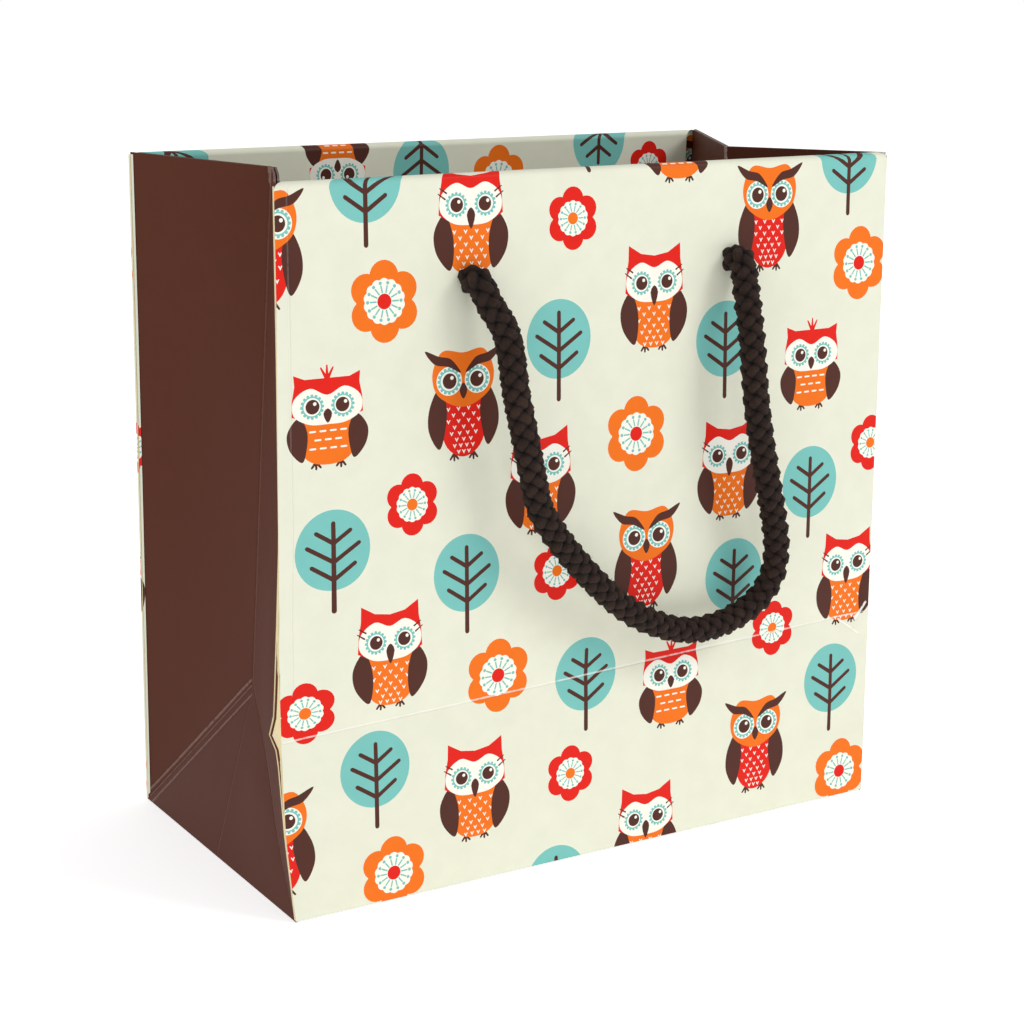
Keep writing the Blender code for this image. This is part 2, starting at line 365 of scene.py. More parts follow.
def ellipse(x, y, rx, ry, turn=0.0, count=28):
    c, s = math.cos(math.radians(turn)), math.sin(math.radians(turn))
    points = []
    for i in range(count):
        a = 2 * math.pi * i / count
        px, py = rx * math.cos(a), ry * math.sin(a)
        points.append((x + px * c - py * s, y + px * s + py * c))
    return points


def blob(corners, steps=5):
    """A closed smooth outline through the corners."""
    points = [Vector(c) for c in corners]
    count = len(points)
    out = []
    for i in range(count):
        a, b, c, d = (points[(i + k) % count] for k in (-1, 0, 1, 2))
        for j in range(steps):
            t = j / steps
            p = 2 * b + (c - a) * t + (2 * a - 5 * b + 4 * c - d) * t**2 + (3 * b - a - 3 * c + d) * t**3
            out.append(tuple(p / 2))
    return out


def stroke(start, end, width, tip=None):
    """A straight stroke with round ends, width wide at start and tip wide at end."""
    a, b = Vector(start), Vector(end)
    along = math.atan2(b.y - a.y, b.x - a.x)
    points = []
    for centre, r, first in ((b, (tip or width) / 2, -90), (a, width / 2, 90)):
        for k in range(5):
            turn = along + math.radians(first + 45 * k)
            points.append((centre.x + r * math.cos(turn), centre.y + r * math.sin(turn)))
    return points


def mirrored(shape):
    return [(-x, y) for x, y in shape][::-1]


def feathers(top, rows, spread, ink="white"):
    """Rows of small v marks down a belly."""
    out = []
    for row in range(rows):
        y = top - 1.18 * row
        wide = spread * (1 - 0.10 * max(0, row - 2))
        count = 4 if row % 2 == 0 else 3
        for k in range(count):
            x = (k - (count - 1) / 2) * wide / 2.0
            mark = [(-0.42, 0.34), (-0.2, 0.36), (0, 0.02), (0.2, 0.36), (0.42, 0.34), (0, -0.46)]
            out.append((ink, [(x + px, y + py) for px, py in mark]))
    return out


def eye(x, y, r, glance):
    """A round eye in a pale disc ringed with teal dots."""
    dots = []
    for k in range(16):
        a = 2 * math.pi * k / 16
        dots.append(("teal", ellipse(x + r * math.cos(a), y + r * math.sin(a), 0.15 * r, 0.15 * r, 0, 7)))
    return [
        ("white", ellipse(x, y, r * 1.22, r * 1.22)),
        ("teal", ellipse(x, y, r * 0.95, r * 0.95, 0, 28)),
        *dots,
        ("white", ellipse(x, y, r * 0.82, r * 0.82, 0, 24)),
        ("brown", ellipse(x + glance * 0.08, y, r * 0.66, r * 0.66, 0, 24)),
        ("white", ellipse(x + 0.26 * r, y + 0.26 * r, r * 0.17, r * 0.17, 0, 10)),
    ]


def feet(y, apart):
    out = []
    for side in (-1, 1):
        for k in (-1, 0, 1):
            end = (side * apart + 0.85 * k, y - 1.15 + 0.25 * abs(k))
            out.append(("brown", stroke((side * apart, y + 0.2), end, 0.55, 0.4)))
    return out


def brow_owl():
    wing = blob([(5.0, 3.6), (7.3, -0.2), (7.6, -4.6), (5.6, -8.3), (4.4, -6.6), (3.6, -1.0)])
    brow = blob([(0.5, 5.9), (2.6, 8.6), (5.2, 9.3), (8.2, 10.5), (6.2, 7.9), (3.2, 7.2)], 4)
    return [
        *feet(-9.6, 2.1),
        ("red", blob([(0, 5), (4.6, 2.2), (5.3, -3.0), (3.6, -8.2), (0, -10.2), (-3.6, -8.2), (-5.3, -3.0),
                      (-4.6, 2.2)])),
        *feathers(-0.9, 8, 4.4),
        ("brown", wing),
        ("brown", mirrored(wing)),
        ("orange", blob([(0, 9.7), (4.4, 10.2), (6.6, 6.4), (6.0, 2.6), (3.2, 0.3), (0, -0.6), (-3.2, 0.3),
                         (-6.0, 2.6), (-6.6, 6.4), (-4.4, 10.2)])),
        *eye(3.05, 4.5, 2.25, -1),
        *eye(-3.05, 4.5, 2.25, 1),
        ("brown", blob([(0, 4.0), (0.85, 2.6), (0, 0.9), (-0.85, 2.6)], 3)),
        ("brown", brow),
        ("brown", mirrored(brow)),
    ]


def plain_owl():
    wing = blob([(5.6, 1.4), (7.9, -1.8), (7.5, -5.8), (4.9, -9.0), (3.9, -7.0), (3.9, -2.6)])
    mask = blob([(0, 5.9), (3.2, 7.0), (6.2, 5.0), (6.5, 1.8), (3.8, -0.4), (0, -0.8), (-3.8, -0.4),
                 (-6.5, 1.8), (-6.2, 5.0), (-3.2, 7.0)])
    lashes = [
        ("brown", stroke((5.2 + 0.3 * k, 5.2 - 1.1 * k), (6.6 + 0.35 * k, 6.1 - 1.0 * k), 0.34, 0.2))
        for k in (0, 1)
    ]
    return [
        *feet(-9.4, 2.1),
        ("orange", blob([(0, 2), (5.4, 0.6), (5.9, -3.8), (3.8, -8.6), (0, -9.9), (-3.8, -8.6), (-5.9, -3.8),
                         (-5.4, 0.6)])),
        *feathers(-2.0, 7, 4.8),
        ("brown", wing),
        ("brown", mirrored(wing)),
        ("red", [(6.9, 1.2), (6.7, 4.6), (6.2, 7.4), (6.1, 10.4), (3.2, 8.7), (0, 8.2), (-3.2, 8.7),
                 (-6.1, 10.4), (-6.2, 7.4), (-6.7, 4.6), (-6.9, 1.2), (-4, -0.3), (0, -0.9), (4, -0.3)]),
        ("white", mask),
        *eye(3.1, 3.0, 2.05, -1),
        *eye(-3.1, 3.0, 2.05, 1),
        *lashes,
        *[(ink, mirrored(shape)) for ink, shape in lashes],
        ("brown", blob([(0, 2.4), (0.9, 1.0), (0, -1.6), (-0.9, 1.0)], 3)),
    ]


def tuft_owl():
    wing = blob([(5.6, 0.4), (7.9, -2.2), (7.5, -5.4), (5.2, -7.9), (4.3, -6.2), (4.0, -2.4)])
    tuft = [("red", stroke((0, 7.0), (x, 9.6 - abs(x) * 0.35), 0.75, 0.3)) for x in (-1.2, 0, 1.2)]
    return [
        *feet(-8.2, 2.4),
        ("orange", blob([(0, 2), (5.6, 0.4), (6.2, -3.6), (4.0, -7.6), (0, -8.7), (-4.0, -7.6), (-6.2, -3.6),
                         (-5.6, 0.4)])),
        *[("white", stroke((x - 0.5, y), (x + 0.5, y), 0.35)) for y, xs in
          ((-2.4, (-3, -1, 1, 3)), (-4.0, (-2, 0, 2)), (-5.6, (-3, -1, 1, 3))) for x in xs],
        ("brown", wing),
        ("brown", mirrored(wing)),
        *tuft,
        ("red", [(7.0, 0.6), (6.9, 3.6), (6.4, 6.2), (6.6, 8.2), (4.4, 7.3), (0, 7.3), (-4.4, 7.3),
                 (-6.6, 8.2), (-6.4, 6.2), (-6.9, 3.6), (-7.0, 0.6), (0, -0.8)]),
        ("white", blob([(0, 4.2), (3.4, 5.6), (6.5, 3.8), (6.6, 0.8), (3.6, -1.0), (0, -1.2), (-3.6, -1.0),
                        (-6.6, 0.8), (-6.5, 3.8), (-3.4, 5.6)])),
        *eye(3.0, 2.2, 2.05, -1),
        *eye(-3.0, 2.2, 2.05, 1),
        ("brown", blob([(0, 1.7), (0.85, 0.7), (0, -1.0), (-0.85, 0.7)], 3)),
    ]


def tree():
    out = [("teal", ellipse(0, 0.3, 7.3, 7.7, 0, 44)), ("brown", stroke((0, -11.4), (0, 5.4), 0.95, 0.85))]
    for low, reach, rise in ((-5.4, 4.1, 2.8), (-2.0, 5.0, 3.2), (1.6, 3.3, 2.2)):
        for side in (-1, 1):
            out.append(("brown", stroke((0, low), (side * reach, low + rise), 0.85, 0.8)))
    return out


def flower(petal, centre, size):
    out = []
    for k in range(6):
        a = math.radians(60 * k + 30)
        x, y = 4.35 * size * math.cos(a), 4.6 * size * math.sin(a)
        out.append((petal, ellipse(x, y, 3.0 * size, 3.0 * size, 0, 22)))
    out.append((petal, ellipse(0, 0, 3.6 * size, 3.8 * size)))
    scallops = []
    for i in range(56):
        a = 2 * math.pi * i / 56
        r = size * (4.0 + 0.32 * abs(math.sin(7 * a)))
        scallops.append((r * math.cos(a), r * math.sin(a)))
    out.append(("white", scallops))
    for k in range(14):
        a = 2 * math.pi * k / 14
        c, s = math.cos(a) * size, math.sin(a) * size
        out.append(("teal", stroke((1.7 * c, 1.7 * s), (2.9 * c, 2.9 * s), 0.3 * size)))
        out.append(("teal", ellipse(3.45 * c, 3.45 * s, 0.34 * size, 0.34 * size, 0, 8)))
    out.append((centre, ellipse(0, 0, 1.45 * size, 1.45 * size, 0, 20)))
    return out


MOTIFS = {
    "brow": brow_owl(),
    "plain": plain_owl(),
    "tuft": tuft_owl(),
    "tree": tree(),
    "orange": flower("orange", "red", 1.0),
    "red": flower("red", "orange", 0.79),
}
# The motifs of one repeat, at measured places: motif, across, up.
PLACES = [
    ("brow", -32.1, 97.2),
    ("brow", 10.3, 61.5),
    ("brow", 39.6, 16.3),
    ("plain", -30.0, 19.3),
    ("plain", 11.5, 2.1),
    ("plain", -14.9, 80.4),
    ("plain", 30.8, 77.6),
    ("plain", -48.6, 50.1),
    ("tuft", 51.6, 97.3),
    ("tuft", 17.3, 33.6),
    ("tree", -52.0, 27.4),
    ("tree", -10.8, 107.4),
    ("tree", 29.2, 104.2),
    ("tree", 52.2, 72.0),
    ("tree", -31.7, 63.8),
    ("tree", -3.8, 38.8),
    ("tree", 32.7, 54.6),
    ("orange", -48.5, 5.6),
    ("orange", 7.5, 87.3),
    ("orange", -24.6, 42.2),
    ("red", -7.5, 18.5),
    ("red", -43.4, 79.0),
    ("red", 43.7, 41.5),
    ("red", -11.1, 61.7),
]
# On the turned-in top edge, at the heights where they end up: they hang upside down there.
# The first six are at measured places.
HEM_PLACES = [
    ("tuft", 25.9, 136.0),
    ("tree", 4.4, 134.0),
    ("orange", -16.3, 131.0),
    ("tree", -44.2, 139.0),
    ("red", -58.9, 132.0),
    ("tree", 64.5, 138.6),
    ("brow", 47.0, 117.0),
    ("red", 8.0, 115.0),
    ("plain", -30.0, 113.0),
    ("tree", 27.0, 110.0),
    ("orange", -58.0, 109.0),
]


BULGE_MOTIF = -68.3  # the flower on the bulging corner
BULGE_SHIFT = 3.0  # how far it is moved, since the sheet is stretched over the corner


def shapes_in(left, right, low, high, places, tiled=True, flip=None):
    """(ink, outline) of every printed shape that reaches into the rectangle, from bottom layer to top."""
    found = []
    steps = (-1, 0, 1) if tiled else (0,)
    for name, x, y in places:
        for i in steps:
            for j in steps:
                cx, cy = x + TILE * i, (y if flip is None else flip - y) + TILE * j
                if abs(cx - BULGE_MOTIF) < 0.1 and flip is None:
                    cx += BULGE_SHIFT
                if left - 9 < cx < right + 9 and low - 14 < cy < high + 14:
                    for ink, outline in MOTIFS[name]:
                        moved = [(cx + px, cy + py) for px, py in outline]
                        xs, ys = [p[0] for p in moved], [p[1] for p in moved]
                        if max(xs) > left and min(xs) < right and max(ys) > low and min(ys) < high:
                            found.append((ink, moved))
    return found


def print_sheet(name, left, right, low, high, shapes, surface, spacing=5.0, guides=(), split=None):
    """A printed sheet: the rectangle cut into areas of one ink each, then laid on a surface.

    surface(x, y) gives a point and its normal.
    guides are heights where the mesh gets a row of points. split is (height, index): above the height only
    the shapes after the index print, and below it only the others."""
    points = [Vector(p) for p in ((left, low), (right, low), (right, high), (left, high))]
    faces = [[0, 1, 2, 3]]
    inks = ["cream"]
    for ink, outline in shapes:
        if sum(a[0] * b[1] - b[0] * a[1] for a, b in zip(outline, [*outline[1:], outline[0]])) < 0:
            outline = outline[::-1]
        start = len(points)
        points += [Vector(p) for p in outline]
        faces.append(list(range(start, len(points))))
        inks.append(ink)
    across, up = max(2, round((right - left) / spacing)), max(2, round((high - low) / spacing))
    for i in range(across + 1):
        for j in range(up + 1):
            x, y = left + (right - left) * i / across, low + (high - low) * j / up
            points.append(Vector((x + 0.003 * math.sin(7.1 * j), y + 0.003 * math.sin(5.3 * i))))
    edges = []
    for y in guides:
        start = len(points)
        count = across * 2
        points += [Vector((left + (right - left) * i / count, y)) for i in range(count + 1)]
        edges += [(start + i, start + i + 1) for i in range(count)]
    cut = delaunay_2d_cdt(points, edges, faces, 1, 1e-4)
    found, triangles, owners = cut[0], cut[2], cut[5]
    kept, ink_index = [], []
    for corners, owner in zip(triangles, owners):
        if 0 in owner:
            kept.append(corners)
            if split:
                beyond = sum(found[c].y for c in corners) / 3 > split[0]
                owner = [k for k in owner if k == 0 or (k > split[1]) == beyond]
            ink_index.append(INK.index(inks[max(owner)]))
    placed, normals = [], []
    for p in found:
        point, normal = surface(min(max(p.x, left), right), min(max(p.y, low), high))
        placed.append(point)
        normals.append(normal)
    mesh = bpy.data.meshes.new(name)
    mesh.from_pydata([p * MM for p in placed], [], kept)
    for material in PRINT:
        mesh.materials.append(material)
    mesh.polygons.foreach_set("material_index", ink_index)
    mesh.polygons.foreach_set("use_smooth", [True] * len(kept))
    uv = mesh.uv_layers.new(name="flat")
    for loop in mesh.loops:
        p = found[loop.vertex_index]
        uv.data[loop.index].uv = (p.x / 100, p.y / 100)
    sample = mesh.polygons[0]
    if sample.normal.dot(normals[sample.vertices[0]]) < 0:
        mesh.flip_normals()
    mesh.normals_split_custom_set_from_vertices(normals)
    obj = bpy.data.objects.new(name, mesh)
    bpy.context.scene.collection.objects.link(obj)
    return obj


# ---------------------------------------------------------------- surfaces


def corner_bulge(z):
    """How far the printed side and the gusset stand out at the front left corner at height z."""
    for (low, a, c), (high, b, d) in zip(CORNER_BULGE, CORNER_BULGE[1:]):
        if z <= high:
            t = max(0.0, (z - low) / (high - low))
            return a + (b - a) * t, c + (d - c) * t
    return 0.0, 0.0


def bulged(point, share, gusset=False):
    """A point near the front left corner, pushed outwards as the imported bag's crease left it."""
    return point - Vector((corner_bulge(point.z)[gusset] * share, 0, 0))


def on_panel(side, x, up, out):
    """A point in millimetres, from a panel's own across, up and out."""
    s, c = math.sin(LEAN), math.cos(LEAN)
    return SIDES[side] @ Vector((x, -DEPTH / 2 + up * s - out * c, up * c + out * s))


def panel_relief(x, up):
    """How far the printed side stands out of flat: a shallow belly, and the crease from being packed flat."""
    edge = min(1.0, (70 - abs(x)) / 12)
    ends = min(1.0, up / 10) * min(1.0, max(0.0, (138 - up) / 14))
    line = CREASE_UP[0] + (CREASE_UP[1] - CREASE_UP[0]) * (x + 70) / 140
    fold = -0.55 * math.exp(-abs(up - line) / 7)
    belly = 0.55 * math.cos(math.pi * x / 150) * math.sin(math.pi * min(up, 138) / 138)
    wave = 0.16 * noise.noise(Vector((x / 38, up / 30, 1.7)))
    pinch = -0.35 * math.exp(-((x - 64) ** 2 + (up - 41) ** 2) / 26)
    return (fold + belly + wave + pinch) * edge * ends


def smooth(t):
    t = min(max(t, 0.0), 1.0)
    return t * t * (3 - 2 * t)


ARC_FROM = HEIGHT - FOLD
ARC_TO = ARC_FROM + math.pi * FOLD
SHEET_END = ARC_TO + HEM - FOLD


def panel_surface(side):
    """The whole printed side by arc length: up the outside, over the top edge and down inside as the hem."""

    def place(x, y):
        if y <= ARC_FROM:
            p = on_panel(side, x, y, panel_relief(x, y))
            return bulged(p, 1 - smooth((x + 70) / BULGE_REACH)) if side == "front" else p
        narrow = 1 - 0.060 * smooth((y - ARC_FROM) / (ARC_TO - ARC_FROM))
        if y <= ARC_TO:
            a = (y - ARC_FROM) / FOLD
            return on_panel(side, x * narrow, ARC_FROM + FOLD * math.sin(a), -FOLD + FOLD * math.cos(a))
        inner = y - ARC_TO
        lift = 0.12 * noise.noise(Vector((x / 25, y / 15, 4.0))) * min(1, inner / 8)
        return on_panel(side, x * narrow, ARC_FROM - inner, -TOP_THICK + lift)

    return with_normal(place, 0.05)


def with_normal(place, step):
    def surface(x, y):
        here = place(x, y)
        dx = place(x + step, y) - place(x - step, y)
        dy = place(x, y + step) - place(x, y - step)
        return here, dx.cross(dy).normalized()

    return surface


def gusset_points():
    ratio = DEPTH / (2 * HEIGHT)
    middle = math.acos((1 - ratio * math.sin(LEAN)) / math.cos(LEAN))
    left = -WIDTH / 2
    corner = Vector((left, DEPTH / 2, 0))
    edge_top = Vector((left, DEPTH / 2 - HEIGHT * math.sin(LEAN), HEIGHT * math.cos(LEAN)))
    crease_top = Vector((left + HEIGHT * math.sin(middle), 0, HEIGHT * math.cos(middle)))
    foot = Vector((left + DEPTH / 2 * math.sin(CREASE_LEAN), 0, DEPTH / 2 * math.cos(CREASE_LEAN)))
    return corner, edge_top, crease_top, foot


CORNER, EDGE_TOP, CREASE_TOP, FOOT = gusset_points()


def gusset_half(side, half, inset=0.0):
    """surface(s, t) of one half of a gusset: s from the panel's edge to the middle crease, t upwards.

    half is 1 for the half on the +Y side of the left gusset and -1 for its -Y side."""
    turn = SIDES[side]

    def place(s, t):
        edge = CORNER.lerp(EDGE_TOP, t)
        middle = FOOT.lerp(CREASE_TOP, t)
        p = edge.lerp(middle, s)
        sag = 0.9 * math.sin(math.pi * min(max(s, 0), 1)) * math.sin(math.pi * min(max(t, 0), 1)) ** 0.8
        wave = 0.22 * noise.noise(Vector((s * 1.6 + 3 * half, t * 4.5, 2.0 if side == "left" else 6.0)))
        crumple = 0.0
        if side == "left" and half < 0:
            spot = math.exp(-((s - 0.12) ** 2 / 0.02 + (t - 0.97) ** 2 / 0.0035))
            crumple = 0.5 * spot * noise.noise(Vector((s * 9, t * 40, 1.0)))
        reach = min(1.0, s / 0.1) * min(1.0, (1 - s) / 0.1)
        p = p + Vector((sag + (wave + crumple) * max(reach, 0) + inset, 0, 0))
        if half < 0:
            p = Vector((p.x, -p.y, p.z))
            if side == "left":
                p = bulged(p, 1 - smooth(s / GUSSET_REACH), True)
        return turn @ p

    return place


def shell(name, place, across, up, thickness, materials, inward, uv_of):
    """A thin sheet on a grid: its outer face, its inner face and its edges, each with its own material.

    place(i, j) takes 0 to 1 each way; inward is about the direction of the inner face."""
    count_a, count_u = across + 1, up + 1
    grid = [[place(i / across, j / up) for j in range(count_u)] for i in range(count_a)]
    points, faces, kinds, flat = [], [], [], []
    normals = [[None] * count_u for _ in range(count_a)]
    for i in range(count_a):
        for j in range(count_u):
            di = grid[min(i + 1, across)][j] - grid[max(i - 1, 0)][j]
            dj = grid[i][min(j + 1, up)] - grid[i][max(j - 1, 0)]
            n = di.cross(dj).normalized()
            normals[i][j] = n if n.dot(inward) > 0 else -n
    for layer in (0, 1):
        start = len(points)
        for i in range(count_a):
            for j in range(count_u):
                points.append(grid[i][j] + normals[i][j] * thickness * layer)
                flat.append(uv_of(i / across, j / up))
        for i in range(across):
            for j in range(up):
                a = start + i * count_u + j
                quad = [a, a + count_u, a + count_u + 1, a + 1]
                found = (points[quad[1]] - points[quad[0]]).cross(points[quad[3]] - points[quad[0]])
                outward = found.dot(inward) < 0
                faces.append(quad if outward == (layer == 0) else quad[::-1])
                kinds.append(layer)
    rim = [(i, 0) for i in range(count_a)] + [(across, j) for j in range(1, count_u)]
    rim += [(i, up) for i in range(across - 1, -1, -1)] + [(0, j) for j in range(up - 1, -1, -1)]
    start = len(points)
    centre = sum((grid[i][j] for i, j in rim), Vector()) / len(rim)
    for i, j in rim:
        points += [grid[i][j], grid[i][j] + normals[i][j] * thickness]
        flat += [uv_of(i / across, j / up)] * 2
    for k in range(len(rim) - 1):
        a = start + 2 * k
        quad = [a, a + 2, a + 3, a + 1]
        n = (points[quad[1]] - points[quad[0]]).cross(points[quad[3]] - points[quad[0]])
        middle = (points[quad[0]] + points[quad[1]]) / 2
        faces.append(quad if n.dot(middle - centre) > 0 else quad[::-1])
        kinds.append(2)
    mesh = bpy.data.meshes.new(name)
    mesh.from_pydata([p * MM for p in points], [], faces)
    for material in materials:
        mesh.materials.append(material)
    mesh.polygons.foreach_set("material_index", kinds)
    mesh.polygons.foreach_set("use_smooth", [k < 2 for k in kinds])
    uv = mesh.uv_layers.new(name="flat")
    for loop in mesh.loops:
        u, v = flat[loop.vertex_index]
        uv.data[loop.index].uv = (u / 100, v / 100)
    obj = bpy.data.objects.new(name, mesh)
    bpy.context.scene.collection.objects.link(obj)
    return obj


# ---------------------------------------------------------------- cord


def smooth_line(route, step):
    points = [Vector(p) for p in route]
    ends = [2 * points[0] - points[1], *points, 2 * points[-1] - points[-2]]
    fine = []
    for a, b, c, d in zip(ends, ends[1:], ends[2:], ends[3:]):
        for i in range(16):
            t = i / 16
            p = 2 * b + (c - a) * t + (2 * a - 5 * b + 4 * c - d) * t**2 + (3 * b - a - 3 * c + d) * t**3
            fine.append(p / 2)
    fine.append(points[-1])
    out, walked, target = [fine[0]], 0.0, step
    for a, b in zip(fine, fine[1:]):
        length = (b - a).length
        while walked + length >= target:
            out.append(a.lerp(b, (target - walked) / length))
            target += step
        walked += length
    return out


def braid(name, line, radius, pitch=12.6, plies=4, sides=10, fuzz=3.0):
    """A round braid of two sets of plies that cross over and under, along line, with stray fibres."""
    tangents = []
    for i in range(len(line)):
        tangents.append((line[min(i + 1, len(line) - 1)] - line[max(i - 1, 0)]).normalized())
    up = tangents[0].orthogonal().normalized()
    frames = []
    for t in tangents:
        up = (up - t * up.dot(t)).normalized()
        frames.append((up, t.cross(up)))
    step = (line[1] - line[0]).length
    points, faces, flat, high = [], [], [], []
    middle, tall, wide, lift = 0.50 * radius, 0.32 * radius, 0.35 * radius, 0.19 * radius
    for sign in (1, -1):
        for ply in range(plies):
            centres = []
            for i, p in enumerate(line):
                turn = sign * 2 * math.pi * i * step / pitch + 2 * math.pi * ply / plies
                turn += math.pi / plies * (sign < 0)
                wave = sign * math.cos(2 * math.pi * plies * i * step / pitch - math.pi / 2)
                a, b = frames[i]
                out = a * math.cos(turn) + b * math.sin(turn)
                centres.append((p + out * (middle + lift * wave), out))
            start = len(points)
            for i, (c, out) in enumerate(centres):
                along = (centres[min(i + 1, len(line) - 1)][0] - centres[max(i - 1, 0)][0]).normalized()
                side = along.cross(out).normalized()
                top = side.cross(along)
                swell = 1 + 0.07 * noise.noise(Vector((i * 0.21, ply * 3.0, sign * 5.0)))
                for k in range(sides):
                    a = 2 * math.pi * k / sides
                    p = c + (side * wide * math.cos(a) + top * tall * math.sin(a)) * swell
                    points.append(p)
                    flat.append((k / sides * 6, i * step * 1.4))
                    high.append((p - line[i]).length / radius)
            for i in range(len(centres) - 1):
                for k in range(sides):
                    a, b = start + i * sides + k, start + i * sides + (k + 1) % sides
                    faces.append([a, b, b + sides, a + sides])
            faces.append([start + k for k in range(sides)][::-1])
            faces.append([start + (len(centres) - 1) * sides + k for k in range(sides)])
    kinds = [0] * len(faces)
    rng = np.random.default_rng(11)
    for roll in rng.random((int(fuzz * len(line)), 6)):
        i = int(roll[0] * (len(line) - 1))
        a, b = frames[i]
        turn = roll[1] * 2 * math.pi
        out = a * math.cos(turn) + b * math.sin(turn)
        side = a * -math.sin(turn) + b * math.cos(turn)
        root = line[i] + out * radius * 0.90
        lean = tangents[i] * (roll[2] - 0.5) * 1.6 + side * (roll[3] - 0.5) * 1.4
        length = 0.3 + 0.6 * roll[4] ** 2
        tip = root + (out * 0.55 + lean) * length
        bend = (root + tip) / 2 + out * 0.18 * length
        width = side.cross(tip - root).cross(tip - root).normalized() * 0.03
        start = len(points)
        points += [root - width, root + width, bend + width, bend - width, tip]
        flat += [(0, 0)] * 5
        high += [1.0] * 5
        faces += [[start, start + 1, start + 2, start + 3], [start + 3, start + 2, start + 4]]
        kinds += [1, 1]
    mesh = bpy.data.meshes.new(name)
    mesh.from_pydata([p * MM for p in points], [], faces)
    mesh.materials.append(YARN)
    mesh.materials.append(FIBRE)
    mesh.polygons.foreach_set("material_index", kinds)
    mesh.polygons.foreach_set("use_smooth", [True] * len(faces))
    # raised is how far each point stands from the cord's middle; the yarn paints shade into the low points
    # with it.
    mesh.attributes.new("raised", "FLOAT", "POINT").data.foreach_set("value", high)
    uv = mesh.uv_layers.new(name="flat")
    for loop in mesh.loops:
        uv.data[loop.index].uv = flat[loop.vertex_index]
    obj = bpy.data.objects.new(name, mesh)
    bpy.context.scene.collection.objects.link(obj)
    return obj


def handle(side):
    """One cord: the loop outside, from hole to hole, and the stopper knots behind the hem."""
    inner = [(-HOLE_X, HOLE_UP + 0.2, INNER_END), (-HOLE_X, HOLE_UP + 0.2, -0.4)]
    route = inner + LOOP_ROUTE + [(-x, up, out) for x, up, out in inner[::-1]]
    route = [on_panel(side, *p) for p in route]
    line = smooth_line(route, STEP)
    loop = braid(f"{side}_cord_loop", line, CORD_RADIUS * 1.05)
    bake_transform(loop)
    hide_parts(f"{side}_handle_cord")
    for hand, x in (("left", -HOLE_X), ("right", HOLE_X)):
        centre = on_panel(side, x, HOLE_UP, KNOT_OUT)
        a = (on_panel(side, x + 1, HOLE_UP, KNOT_OUT) - centre).normalized()
        b = (on_panel(side, x, HOLE_UP + 1, KNOT_OUT) - centre).normalized()
        c = (on_panel(side, x, HOLE_UP, KNOT_OUT + 1) - centre).normalized()
        curl = []
        for i in range(61):
            t = math.radians(20 + 5.7 * i) * (1 if hand == "left" else -1)
            r = 2.3 + 1.35 * math.cos(3 * t)
            ring = a * r * math.cos(2 * t) + b * r * math.sin(2 * t)
            curl.append(centre + ring + c * 2.7 * math.sin(3 * t))
        knot = braid(f"{side}_{hand}_cord_knot", smooth_line(curl, STEP), 2.4, fuzz=2.0)
        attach(knot, side)
        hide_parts(f"{side}_{hand}_knot")


# ---------------------------------------------------------------- the bag


def printed_side(side):
    middle = (ARC_FROM + ARC_TO) / 2
    shapes = shapes_in(-70, 70, 0, middle, PLACES)
    split = (middle, len(shapes))
    shapes += shapes_in(-70, 70, middle, SHEET_END, HEM_PLACES, False, ARC_FROM + ARC_TO)
    guides = [ARC_FROM + (ARC_TO - ARC_FROM) * k / 6 for k in range(7)]
    guides += [CREASE_UP[0] - 2 + 0.9 * k for k in range(10)]
    sheet = print_sheet(f"{side}_printed_sheet", -70, 70, 0.1, SHEET_END, shapes,
                        panel_surface(side), 5.0, guides, split)
    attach(sheet, side)
    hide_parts(f"{side}_panel", f"{side}_hem", f"{side}_top_board")

    def lining(i, j):
        x, up = -69.6 + 139.2 * i, 0.3 + (HEIGHT - HEM + 1 - 0.3) * j
        p = on_panel(side, x, up, panel_relief(x, up) - PAPER)
        return bulged(p, 1 - smooth((x + 70) / BULGE_REACH)) if side == "front" else p

    inward = SIDES[side] @ Vector((0, 1, 0))
    inner = shell(f"{side}_lining", lining, 28, 24, 0.05, [INSIDE, INSIDE, SHADED_EDGE], inward,
                  lambda i, j: (140 * i - 70, 106 * j))
    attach(inner, side)
    # The cut edges down both sides, painted a shaded yellow-cream for the sheet turning round the corner away
    # from the light.
    for hand, x in (("left", -70), ("right", 70)):
        def strip(i, j, x=x):
            p = on_panel(side, x, 0.3 + (HEIGHT - 1.0) * j, -0.62 * i)
            return bulged(p, 1, i > 0.5) if side == "front" and x < 0 else p

        edge = shell(f"{side}_{hand}_edge", strip, 1, 40, 0.05, [SHADED_EDGE, SHADED_EDGE, SHADED_EDGE],
                     SIDES[side] @ Vector((-x, 0, 0)), lambda i, j: (i, 140 * j))
        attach(edge, side)


